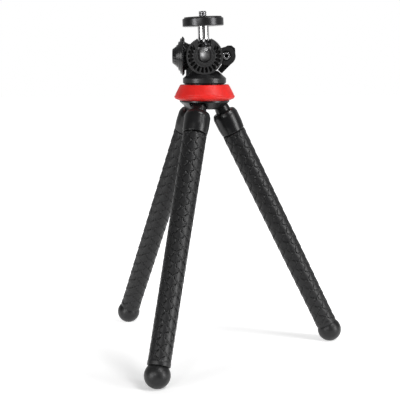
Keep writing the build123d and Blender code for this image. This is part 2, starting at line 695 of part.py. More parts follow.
def cam_lever():
    """Cam with a raised nose and a straight bar that ends just above the base's cone."""
    cam = []
    for angle, share in CAM_PROFILE:
        reach = share * LEVER_REACH
        cam.append((PIVOT_X + reach * cos(radians(angle)), reach * sin(radians(angle))))
    outline = cam + [
        lever_point(LEVER_BAR_OUT - LEVER_ROOT_T, LEVER_ROOT_AT), above_cone(LEVER_BAR_OUT - LEVER_TIP_T),
        above_cone(LEVER_BAR_OUT), lever_point(LEVER_BAR_OUT, LEVER_SHOULDER_AT),
    ]
    bore = Pos(PIVOT_X, 0, 0) * bar("Y", LEVER_BORE_R, -LEVER_HALF, LEVER_HALF)
    return plate(outline, LEVER_HALF) - bore


def lever_bushing():
    ring = bar("Y", LEVER_BORE_R, -LEVER_HALF, LEVER_HALF)
    return Pos(PIVOT_X, 0, 0) * (ring - bar("Y", PIVOT_R + RUN_GAP, -LEVER_HALF, LEVER_HALF))


# Ball and what it carries, drawn upright about the ball's centre.

def ball_seat():
    """Cup behind and below the ball."""
    shell = Sphere(BALL_R + RUN_GAP + SEAT_T) - Sphere(BALL_R + RUN_GAP)
    keep = Pos(0, 0, -SEAT_RIM_DROP - BODY_R) * Box(4 * BALL_R, 4 * BALL_R, 2 * BODY_R)
    return Rot(SEAT_LEAN, 0, 0) * (shell & keep)


def ball():
    body = Sphere(BALL_R) - bar("Z", BALL_R, STEM_COLLAR_AT, 2 * BALL_R)
    return body - bar("Z", STUD_R + RUN_GAP, STEM_BASE - STUD_DEPTH - SEAT_GAP, BALL_R)


def stem_collar():
    ring = bar("Z", STEM_COLLAR_R, STEM_COLLAR_AT, STEM_COLLAR_AT + STEM_COLLAR_H)
    return ring - bar("Z", STUD_R + RUN_GAP, 0, STEM_BASE)


def ball_stem():
    body = turned([
        (0, STEM_BASE), (STEM_TAPER_R, STEM_BASE), (STEM_R, STEM_BASE + STEM_TAPER_H),
        (STEM_R, PLATFORM_AT), (STEM_TENON_R, PLATFORM_AT), (STEM_TENON_R, PLATFORM_AT + STEM_TENON_H),
        (0, PLATFORM_AT + STEM_TENON_H),
    ])
    return body + bar("Z", STUD_R, STEM_BASE - STUD_DEPTH, STEM_BASE)


def screw_platform():
    disc = bar("Z", PLATFORM_R, PLATFORM_AT, PLATFORM_TOP)
    edges = disc.edges().filter_by(GeomType.CIRCLE).sort_by(Axis.Z)
    disc = fillet(edges[-1], PLATFORM_TOP_ROUND)
    edges = disc.edges().filter_by(GeomType.CIRCLE).sort_by(Axis.Z)
    disc = fillet(edges[0], PLATFORM_BOTTOM_ROUND)
    disc -= bar("Z", STEM_TENON_R, PLATFORM_AT, PLATFORM_AT + STEM_TENON_H)
    return disc - camera_screw()


def platform_pad():
    return bar("Z", PAD_R, PLATFORM_TOP, PAD_TOP) - camera_screw()


def camera_screw():
    """Standard camera screw: full diameter above the pad, a narrower shank below."""
    tip = PAD_TOP + SCREW_L
    exposed = turned([
        (0, PAD_TOP), (SCREW_R, PAD_TOP), (SCREW_R, tip - SCREW_CHAMFER),
        (SCREW_R - SCREW_CHAMFER, tip), (0, tip),
    ])
    return exposed + bar("Z", SCREW_SHANK_R, PAD_TOP - PAD_T - SCREW_SHANK_L, PAD_TOP)


os.makedirs("parts", exist_ok=True)

save("leg_hub", hub())
save("trim_ring", trim_ring())
save("bearing_plate", bearing_plate())
save("pan_washer", pan_washer())
save("pan_spring_washer", pan_spring_washer())
save("hub_cover", bar("Z", COVER_R - RUN_GAP, HUB_BOTTOM_Z, COVER_TOP_Z))
save("hub_screws", Compound(children=hub_screws()))

for leg, leg_name in enumerate(LEG_NAMES):
    place = leg_place(leg)
    save(f"{leg_name}_hinge_pin", hinge_pin(leg))
    save(f"{leg_name}_knuckle", place * knuckle())
    save(f"{leg_name}_collar", place * collar())
    save(f"{leg_name}_cross_pin", place * cross_pin())
    save(f"{leg_name}_upper_core", place * upper_core())
    save(f"{leg_name}_upper_sleeve", place * upper_sleeve())
    save(f"{leg_name}_lower_core", place * lower_core())
    save(f"{leg_name}_lower_sleeve", place * lower_sleeve())
    save(f"{leg_name}_foot", foot(leg))

save("head_base", head_base())
save("base_screws", Compound(children=base_screws()))
save("pan_bolt", pan_bolt())
save("socket_body", HEAD * socket_body())
save("socket_front_shell", HEAD * front_shell())
save("socket_back_shell", HEAD * back_shell())
save("shell_screws", HEAD * Compound(children=shell_screws()))
save("lever_pivot_screw", HEAD * pivot_screw())
save("lever_pivot_nut", HEAD * pivot_nut())
save("knob_boss", HEAD * knob_boss())

save("cam_lever", HEAD * cam_lever())
save("lever_bushing", HEAD * lever_bushing())
save("lock_knob", HEAD * lock_knob())
save("lock_knob_cap", HEAD * lock_knob_cap())
save("lock_screw", HEAD * lock_screw())
save("lock_pad", HEAD * lock_pad())

save("ball_seat", STEM * ball_seat())
save("ball", STEM * ball())
save("stem_collar", STEM * stem_collar())
save("ball_stem", STEM * ball_stem())
save("screw_platform", STEM * screw_platform())
save("platform_pad", STEM * platform_pad())
save("camera_screw", STEM * camera_screw())
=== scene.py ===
"""Looks of a small ball-head tripod with flexible legs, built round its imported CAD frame.

Lengths are in millimetres until a mesh is made, and the frame's origin is at floor level on the
head's axis, +Z up and +X to the right of the head's front.
"""

import functools
import json
import logging
import math
from dataclasses import dataclass, field, replace
from enum import Enum
from typing import Any, Iterable, Mapping, Optional, Sequence, Union

import bpy
import numpy as np
from mathutils import Matrix, Vector

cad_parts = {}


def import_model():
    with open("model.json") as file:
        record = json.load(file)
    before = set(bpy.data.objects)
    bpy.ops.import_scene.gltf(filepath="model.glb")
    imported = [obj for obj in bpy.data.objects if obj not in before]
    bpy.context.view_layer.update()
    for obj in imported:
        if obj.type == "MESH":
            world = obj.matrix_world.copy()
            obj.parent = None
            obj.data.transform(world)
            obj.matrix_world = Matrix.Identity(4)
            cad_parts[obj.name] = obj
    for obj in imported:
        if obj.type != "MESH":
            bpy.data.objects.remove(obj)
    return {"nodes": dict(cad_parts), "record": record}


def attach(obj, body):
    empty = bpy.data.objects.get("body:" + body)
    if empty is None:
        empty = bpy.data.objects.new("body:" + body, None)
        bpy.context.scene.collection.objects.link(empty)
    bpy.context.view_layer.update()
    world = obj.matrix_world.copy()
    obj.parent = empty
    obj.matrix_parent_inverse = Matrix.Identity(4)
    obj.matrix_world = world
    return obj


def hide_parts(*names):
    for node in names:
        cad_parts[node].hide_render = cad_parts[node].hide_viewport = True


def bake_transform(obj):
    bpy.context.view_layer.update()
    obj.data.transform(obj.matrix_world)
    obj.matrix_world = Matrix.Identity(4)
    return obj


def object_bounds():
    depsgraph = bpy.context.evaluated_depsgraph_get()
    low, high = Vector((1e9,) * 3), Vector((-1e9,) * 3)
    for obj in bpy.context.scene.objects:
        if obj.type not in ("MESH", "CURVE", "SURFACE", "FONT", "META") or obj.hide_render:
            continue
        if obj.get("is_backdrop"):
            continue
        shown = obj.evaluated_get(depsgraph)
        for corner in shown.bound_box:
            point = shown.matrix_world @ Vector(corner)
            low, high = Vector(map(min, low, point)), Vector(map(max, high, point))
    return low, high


LOG = logging.getLogger("tripod")
MM = 0.001
TURN = 2 * math.pi
BALL_HEIGHT = 242.6
STEM_LEAN = 2.2  # degrees
LEG_AZIMUTHS = {"right": 10.5, "back": 130.5, "front": 250.5}  # degrees from +X
# Black painted into hollows as shade.
PAINTED_SHADE_BLACK = (0.0005, 0.0005, 0.0005, 1.0)

# Outlines of turned pieces from (radius, height, fillet), with heights above the ball's centre
# along the piece's own axis.
KNOB_BACK = (
    (2.6, 20.5), (6.95, 20.5, 0.3), (12.9, 17.2, 0.3), (13.1, 16.7, 0.1), (13.9, 15.9, 0.2),
    (15.6, 17.2, 0.15), (15.6, 17.8, 0.2),
)
KNOB_BORE = ((7.75, 22.45, 0.1), (2.6, 22.45), (2.6, 20.5))
KNOB_CAP = (
    (0.4, 22.5), (7.7, 22.5, 0.1), (7.7, 23.0, 0.3), (5.6, 25.75, 0.4), (4.6, 25.9, 0.2), (0.4, 25.9),
)
BALL_TOP = ((5.2, 7.25), (4.9, 7.3))
STEM_COLLAR = (
    (2.7, 7.3), (4.8, 7.3, 0.2), (5.0, 8.2, 0.6), (4.5, 9.9, 0.6), (3.4, 10.1, 0.2), (2.7, 10.1),
    (2.7, 7.3),
)
STEM = (
    (0.3, 10.15), (2.8, 10.15, 0.2), (4.45, 13.3, 1.2), (4.5, 14.6, 0.5), (4.5, 23.7), (0.3, 23.7),
)
PLATFORM = (
    (0.3, 23.7), (16.1, 23.7, 0.3), (16.5, 24.2, 0.4), (16.5, 30.0, 1.3), (15.2, 30.3, 0.4),
    (0.3, 30.3),
)
PAD = ((0.3, 30.3), (15.1, 30.3, 0.1), (15.1, 31.2, 0.3), (0.3, 31.2))


class Grain(Enum):
    """How a finish breaks up close to."""

    MOULDED = "moulded"
    TURNED = "turned"
    RUBBER = "rubber"
    POLISHED = "polished"


class Shade:
    """One value in a material's nodes, so that its maths reads as Python arithmetic."""

    def __init__(self, bench: "NodeBench", socket: bpy.types.NodeSocket) -> None:
        """Wraps a socket.

        Args:
            bench: The nodes that the socket belongs to.
            socket: The output socket that gives the value.
        """
        self.bench = bench
        self.socket = socket

    def _math(self, operation: str, *values: "Value") -> "Shade":
        """A Math node on these values."""
        return self.bench.add("ShaderNodeMath", {"operation": operation}, dict(enumerate(values)))

    def __add__(self, other: "Value") -> "Shade":
        """Sum."""
        return self._math("ADD", self, other)

    __radd__ = __add__

    def __sub__(self, other: "Value") -> "Shade":
        """Difference."""
        return self._math("SUBTRACT", self, other)

    def __rsub__(self, other: "Value") -> "Shade":
        """Difference from a plain number."""
        return self._math("SUBTRACT", other, self)

    def __mul__(self, other: "Value") -> "Shade":
        """Product."""
        return self._math("MULTIPLY", self, other)

    __rmul__ = __mul__

    def __truediv__(self, other: "Value") -> "Shade":
        """Quotient."""
        return self._math("DIVIDE", self, other)

    def sine(self) -> "Shade":
        """Sine of the value in radians."""
        return self._math("SINE", self)

    def step(self, low: float, high: float, start: float = 0.0, end: float = 1.0) -> "Shade":
        """Smooth step from start to end, as the value goes from low to high.

        Args:
            low: Value at which the step begins.
            high: Value at which it is done.
            start: Result below the step.
            end: Result above the step.

        Returns:
            The stepped value.
        """
        return self.bench.add(
            "ShaderNodeMapRange",
            {"interpolation_type": "SMOOTHSTEP"},
            {"Value": self, "From Min": low, "From Max": high, "To Min": start, "To Max": end},
        )


Value = Union[Shade, float, Sequence[float]]


class NodeBench:
    """The nodes of one material or world."""

    def __init__(self, owner: Any) -> None:
        """Clears the owner's nodes.

        Args:
            owner: A material or world.
        """
        owner.use_nodes = True
        self.tree = owner.node_tree
        self.tree.nodes.clear()

    def add(
        self,
        kind: str,
        settings: Mapping[str, Any],
        values: Mapping[Union[int, str], Value],
        output: Union[int, str] = 0,
    ) -> Shade:
        """Adds a node.

        Args:
            kind: The node's Blender type.
            settings: Properties set before its sockets are filled.
            values: Numbers, colours or links by socket name or number.
            output: The output that is wanted.

        Returns:
            The wanted output.
        """
        node = self.tree.nodes.new(kind)
        for name, setting in settings.items():
            setattr(node, name, setting)
        for key, value in values.items():
            if isinstance(value, Shade):
                self.tree.links.new(value.socket, node.inputs[key])
            else:
                node.inputs[key].default_value = value
        return Shade(self, node.outputs[output])

    def place(self) -> Shade:
        """Object coordinates in metres."""
        return self.add("ShaderNodeTexCoord", {}, {}, "Object")

    def noise(self, place: Shade, size: float, detail: float = 2.0) -> Shade:
        """Noise of 0 to 1 with features of a size in millimetres.

        Args:
            place: Where it is read.
            size: Feature size.
            detail: Number of finer layers.

        Returns:
            The noise value.
        """
        values = {"Vector": place, "Scale": 1 / (size * MM), "Detail": detail}
        return self.add("ShaderNodeTexNoise", {}, values)

    def mix(self, share: Value, first: Value, second: Value) -> Shade:
        """Colour mixed from first to second by a share."""
        return self.add(
            "ShaderNodeMix", {"data_type": "RGBA"}, {0: share, 6: first, 7: second}, 2
        )

    def bump(self, height: Shade, depth: float, edge: float = 0.0) -> Shade:
        """Bumped normal.

        Args:
            height: Height of the grain, from 0 to 1.
            depth: Its depth in millimetres.
            edge: Radius in millimetres to which sharp edges look rounded, or 0.

        Returns:
            The normal.
        """
        values = {"Height": height, "Distance": depth * MM, "Strength": 1.0}
        if edge:
            values["Normal"] = self.add("ShaderNodeBevel", {"samples": 6}, {"Radius": edge * MM})
        return self.add("ShaderNodeBump", {}, values)

    def output(self, kind: str, shader: Shade) -> None:
        """Shows a shader.

        Args:
            kind: "Material" or "World".
            shader: What is shown.
        """
        node = self.tree.nodes.new(f"ShaderNodeOutput{kind}")
        self.tree.links.new(shader.socket, node.inputs["Surface"])


@dataclass(frozen=True)
class Finish:
    """Colour, polish and grain of one material.

    Attributes:
        slot: The record's material slot that it dresses.
        colour: Base colour, linear.
        roughness: Mean roughness.
        metallic: 1 for bare metal.
        specular: Strength of the plain reflection.
        grain: Kind of fine texture.
        grain_size: Size of its features in millimetres.
        grain_depth: Its depth in millimetres.
        tone: Share by which the colour lightens and darkens.
        edge: Radius in millimetres of the light that sharp edges catch.
        painted_recess_shade: Coordinate Y in millimetres at which painted shade in hollows begins, and
            at which the hollows are painted black as shade, or None.
        label: The material's name, where it isn't the slot's.
    """

    slot: str
    colour: tuple[float, float, float]
    roughness: float
    metallic: float = 0.0
    specular: float = 0.5
    grain: Grain = Grain.MOULDED
    grain_size: float = 0.4
    grain_depth: float = 0.01
    tone: float = 0.12
    edge: float = 0.0
    painted_recess_shade: Optional[tuple[float, float]] = None
    label: str = ""

    @functools.cache
    def material(self) -> bpy.types.Material:
        """The Blender material, made once for each finish."""
        material = bpy.data.materials.new(self.label or f"{self.slot}_look")
        bench = NodeBench(material)
        place = bench.place()
        broad = bench.noise(place, 14 * self.grain_size, 3.0)
        fine = bench.noise(place, self.grain_size, 2.0)
        dark = tuple(c * (1 - self.tone) for c in self.colour) + (1.0,)
        light = tuple(min(1.0, c * (1 + self.tone)) for c in self.colour) + (1.0,)
        colour = bench.mix(broad.step(0.35, 0.65), dark, light)
        spread = 0.2 if self.grain is Grain.POLISHED else 1.0
        rough = self.roughness * ((broad * 0.16 + fine * 0.2 - 0.18) * spread + 1.0)
        # Painted shade: past the recess depth the colour is painted black and the surface made fully
        # rough, standing in for the shade in hollows.
        if self.painted_recess_shade:
            depth = bench.add("ShaderNodeSeparateXYZ", {}, {0: place}, 1) / MM
            painted_shade = depth.step(*self.painted_recess_shade)
            colour = bench.mix(painted_shade, colour, PAINTED_SHADE_BLACK)
            rough = rough * (1 - painted_shade) + painted_shade
        values = {
            "Base Color": colour,
            "Roughness": rough,
            "Metallic": self.metallic,
            "Specular IOR Level": self.specular,
            "Normal": bench.bump(self.relief(bench, place, fine), self.grain_depth, self.edge),
        }
        bench.output("Material", bench.add("ShaderNodeBsdfPrincipled", {}, values))
        return material

    def relief(self, bench: NodeBench, place: Shade, fine: Shade) -> Shade:
        """Height of the grain, from 0 to 1.

        Args:
            bench: The material's nodes.
            place: Object coordinates.
            fine: The grain's own noise.

        Returns:
            The height: pitted noise for mouldings, speckle over soft waves for rubber, rings about
            the head's axis for turned pieces and a faint haze for polished ones.
        """
        if self.grain is Grain.RUBBER:
            return fine * 0.6 + bench.noise(place, 3 * self.grain_size, 1.0) * 0.4
        if self.grain is Grain.TURNED:
            parts = bench.add("ShaderNodeSeparateXYZ", {}, {0: place}, 2)
            rings = (parts * (TURN / (self.grain_size * MM))).sine() * 0.5 + 0.5
            return rings * 0.7 + fine * 0.3
        if self.grain is Grain.POLISHED:
            return bench.noise(place, 6 * self.grain_size, 1.0)
        return fine.step(0.3, 0.7)

    def dress(self, obj: bpy.types.Object) -> None:
        """Gives an object this finish."""
        obj.data.materials.clear()
        obj.data.materials.append(self.material())


SATIN_BLACK = Finish(
    "satin_black_plastic", (0.010, 0.010, 0.0105), 0.34, grain_size=0.25, grain_depth=0.004, edge=0.15
)
GLOSS_BLACK = Finish(
    "gloss_black_plastic", (0.006, 0.006, 0.0065), 0.30, specular=0.42, grain_size=0.5,
    grain_depth=0.003, edge=0.3,
)
RUBBER = Finish(
    "black_rubber", (0.009, 0.009, 0.0095), 0.40, specular=0.40, grain=Grain.RUBBER,
    grain_size=0.3, grain_depth=0.006,
)
RED = Finish(
    "red_plastic", (0.74, 0.017, 0.013), 0.42, specular=0.30, grain_depth=0.03, tone=0.05, edge=0.3
)
CHROME = Finish(
    "chrome_steel", (0.93, 0.93, 0.94), 0.20, 1.0, grain=Grain.POLISHED, grain_depth=0.0001, tone=0.02
)
DARK_METAL = Finish(
    "dark_metal", (0.055, 0.055, 0.057), 0.30, 0.85, grain=Grain.POLISHED, grain_depth=0.0001
)
STEEL = Finish(
    "steel", (0.50, 0.50, 0.52), 0.26, 1.0, grain=Grain.TURNED, grain_size=0.12, grain_depth=0.004,
    edge=0.15,
)
ALUMINIUM = Finish("core_aluminium", (0.72, 0.72, 0.73), 0.34, 1.0, grain_depth=0.004)
BRASS = Finish(
    "brass", (0.72, 0.52, 0.22), 0.28, 1.0, grain=Grain.TURNED, grain_size=0.12, grain_depth=0.004
)
FINISHES = {
    finish.slot: finish
    for finish in (SATIN_BLACK, GLOSS_BLACK, RUBBER, RED, CHROME, DARK_METAL, STEEL, ALUMINIUM, BRASS)
}

# Finishes of single pieces that differ from their slot's own.
BALL_METAL = replace(
    DARK_METAL, colour=(0.60, 0.60, 0.605), roughness=0.47, metallic=1.0, label="ball_metal_look"
)
# The cheek's pocket floors are painted black as shade.
CHEEK_BLACK = replace(
    SATIN_BLACK, colour=(0.024, 0.024, 0.0245), specular=0.6, edge=0.1, painted_recess_shade=(-13.9, -13.4),
    label="cheek_look",
)
KNOB_BLACK = replace(
    SATIN_BLACK, colour=(0.004, 0.004, 0.0045), roughness=0.26, grain_depth=0.002, edge=0.0,
    label="knob_look",
)
# The pivot screw's hex socket is painted black at its bottom as shade.
PIVOT_STEEL = Finish(
    "steel", (0.80, 0.80, 0.81), 0.24, 1.0, grain=Grain.POLISHED, grain_depth=0.001, edge=0.25,
    painted_recess_shade=(-11.1, -10.8), label="pivot_look",
)
SCREW_STEEL = replace(
    PIVOT_STEEL, colour=(0.36, 0.36, 0.37), edge=0.0, painted_recess_shade=None, label="screw_look"
)
NODE_FINISHES = {"lever_pivot_screw": PIVOT_STEEL}


@dataclass
class Skin:
    """Vertices and faces of a mesh while it is put together from grids.

    Attributes:
        points: Arrays of x, y, z, in millimetres.
        faces: Vertex numbers of each face.
        count: Number of vertices so far.
    """

    points: list[np.ndarray] = field(default_factory=list)
    faces: list[tuple[int, ...]] = field(default_factory=list)
    count: int = 0

    def grid(self, points: np.ndarray, wrap: bool = True, loop: bool = False) -> np.ndarray:
        """Adds a grid of points and the quads between them.

        Args:
            points: Array of rows, columns and x, y, z, whose columns run anticlockwise as seen
                from the end that the rows run to.
            wrap: Whether the last column joins the first.
            loop: Whether the last row joins the first.

        Returns:
            The vertex numbers as rows and columns.
        """
        rows, columns = points.shape[:2]
        numbers = self.count + np.arange(rows * columns).reshape(rows, columns)
        self.points.append(points.reshape(-1, 3))
        self.count += rows * columns
        after = np.roll(numbers, -1, axis=1) if wrap else numbers[:, 1:]
        before = numbers if wrap else numbers[:, :-1]
        far_after, far_before = np.roll(after, -1, axis=0), np.roll(before, -1, axis=0)
        quads = np.stack([before, after, far_after, far_before], axis=-1)
        quads = quads if loop else quads[:-1]
        self.faces.extend(map(tuple, quads.reshape(-1, 4).tolist()))
        return numbers

    def cap(self, ring: np.ndarray, centre: Sequence[float], outward: bool) -> None:
        """Closes a ring of vertices with triangles to a pole.

        Args:
            ring: Vertex numbers of the ring.
            centre: The pole.
            outward: True at the end that the rows run to.
        """
        self.points.append(np.array([centre], float))
        pole = self.count
        self.count += 1
        after = np.roll(ring, -1)
        first, second = (ring, after) if outward else (after, ring)
        fan = np.stack([first, second, np.full_like(ring, pole)], axis=-1)
        self.faces.extend(map(tuple, fan.tolist()))

    def join(self, first: np.ndarray, second: np.ndarray) -> None:
        """Joins two rings of the same number of vertices with quads."""
        quads = np.stack([first, np.roll(first, -1), np.roll(second, -1), second], axis=-1)
        self.faces.extend(map(tuple, quads.tolist()))

    def object(self, name: str, finish: Finish, smooth_angle: float = 40.0) -> bpy.types.Object:
        """Makes the Blender object, in metres.

        Args:
            name: The piece's name.
            finish: What it is dressed in.
            smooth_angle: Edges sharper than this many degrees stay sharp.

        Returns:
            The new object, at the origin.
        """
        mesh = bpy.data.meshes.new(name)
        mesh.from_pydata(np.concatenate(self.points) * MM, [], self.faces)
        mesh.update()
        mesh.shade_smooth()
        mesh.set_sharp_from_angle(angle=math.radians(smooth_angle))
        obj = bpy.data.objects.new(name, mesh)
        bpy.context.scene.collection.objects.link(obj)
        finish.dress(obj)
        return obj


def turn_about(axis: str, degrees: float) -> np.ndarray:
    """Rotation matrix about an axis by name, as numpy."""
    return np.array(Matrix.Rotation(math.radians(degrees), 3, axis))


@dataclass(frozen=True)
class Seat:
    """Place of a sub-assembly.

    Attributes:
        turn: Rotation matrix, which comes first.
        move: Shift after it, in millimetres.
    """

    turn: np.ndarray
    move: np.ndarray

    def __call__(self, points: np.ndarray) -> np.ndarray:
        """Takes points from the sub-assembly to the frame.

        Args:
            points: Array whose last axis is x, y, z, in millimetres.

        Returns:
            The same array in the frame.
        """
        return points @ self.turn.T + self.move


def stem_seat() -> Seat:
    """Place of the stem and what it carries: leaning at the ball's centre."""
    return Seat(turn_about("Y", -STEM_LEAN), np.array([0, 0, BALL_HEIGHT]))


def around(radius: Any, angle: np.ndarray, level: np.ndarray) -> np.ndarray:
    """Points (r cos a, r sin a, h) about Z, from values that broadcast to rows and columns."""
    radius, angle, level = np.broadcast_arrays(radius, angle, level)
    return np.stack([radius * np.cos(angle), radius * np.sin(angle), level], axis=-1)


def revolved(profile: np.ndarray, segments: int) -> np.ndarray:
    """Grid of a profile of (radius, height) turned about Z.

    Args:
        profile: Rows of radius and height.
        segments: Number of columns.

    Returns:
        Array of rows, columns and x, y, z.
    """
    angle = np.arange(segments) * TURN / segments
    return around(profile[:, :1], angle, profile[:, 1:])


def smooth(values: np.ndarray, low: float, high: float) -> np.ndarray:
    """Smooth step of 0 to 1 between low and high: 3t² - 2t³ of the clamped share t."""
    share = np.clip((values - low) / (high - low), 0, 1)
    return share * share * (3 - 2 * share)


def filleted(corners: Sequence[tuple[float, ...]], steps: int = 6) -> np.ndarray:
    """Profile through corners, of which the inner ones are rounded.

    An arc of radius r touches both lines at r / tan a from a corner, where a is half its angle,
    and its centre lies r / sin a away on the bisector. A short line keeps at least a tenth of its
    length between two arcs.

    Args:
        corners: Radius, height and fillet of each corner. A missing fillet is none.
        steps: Number of pieces of each arc.

    Returns:
        Rows of radius and height.
    """
    rows = [np.array([corners[0][:2]], float)]
    for before, here, after in zip(corners[:-2], corners[1:-1], corners[2:]):
        spot = np.array(here[:2], float)
        fillet = here[2] if len(here) > 2 else 0.0
        back, ahead = np.array(before[:2]) - spot, np.array(after[:2]) - spot
        long_back, long_ahead = np.linalg.norm(back), np.linalg.norm(ahead)
        back, ahead = back / long_back, ahead / long_ahead
        half = 0.5 * math.acos(max(-1.0, min(1.0, float(back @ ahead))))
        reach = min(fillet / math.tan(half), 0.45 * long_back, 0.45 * long_ahead)
        if reach < 1e-6:
            rows.append(spot[None, :])
            continue
        radius = reach * math.tan(half)
        bisector = (back + ahead) / np.linalg.norm(back + ahead)
        centre = spot + bisector * radius / math.sin(half)
        first, last = spot + back * reach - centre, spot + ahead * reach - centre
        start = math.atan2(first[1], first[0])
        sweep = (math.atan2(last[1], last[0]) - start + math.pi) % TURN - math.pi
        angle = start + sweep * np.linspace(0, 1, steps + 1)
        rows.append(centre + radius * np.stack([np.cos(angle), np.sin(angle)], axis=-1))
    rows.append(np.array([corners[-1][:2]], float))
    return np.concatenate(rows)


def ball_profile(radius: float, centre: float, start: float, end: float, steps: int) -> np.ndarray:
    """Profile of a ball between two latitudes: r cos a and centre + r sin a."""
    angle = np.radians(np.linspace(start, end, steps + 1))
    return np.stack([radius * np.cos(angle), centre + radius * np.sin(angle)], axis=-1)


@dataclass
class Turned:
    """Piece turned about its seat's Z axis from a profile that runs upwards on its outside.

    Attributes:
        name: The piece's name.
        body: The CAD body that it rides.
        finish: What it is dressed in.
        profile: Rows of radius and height.
        seat: Where it stands.
        node: The CAD node that it stands for.
        ring: Whether the profile is a closed loop. An open one ends in poles on the axis.
        segments: Number of columns.
    """

    name: str
    body: str
    finish: Finish
    profile: np.ndarray
    seat: Seat
    node: str
    ring: bool = False
    segments: int = 128

    def shaped(self, points: np.ndarray) -> np.ndarray:
        """Points of the turned grid before they are seated. Ribbed pieces change them here."""
        return points

    def build(self) -> None:
        """Makes the piece and lets it ride its body."""
        skin = Skin()
        rows = skin.grid(self.seat(self.shaped(revolved(self.profile, self.segments))))
        if self.ring:
            skin.join(rows[-1], rows[0])
        else:
            for end, top in ((0, False), (-1, True)):
                pole = np.array([0.0, 0.0, self.profile[end, 1]])
                skin.cap(rows[end], self.seat(pole), top)
        piece = skin.object(self.name, self.finish)
        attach(piece, self.body)
        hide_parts(self.node)
        LOG.info("%s: %d faces", self.name, len(skin.faces))


class Foot(Turned):
    """Ball that stands on the floor."""

    def shaped(self, points: np.ndarray) -> np.ndarray:
        """Ball whose lowest part is lifted to the floor: a point below it moves up onto it."""
        placed = self.seat(points)
        placed[..., 2] = np.maximum(placed[..., 2], 0.0)
        return (placed - self.seat.move) @ self.seat.turn


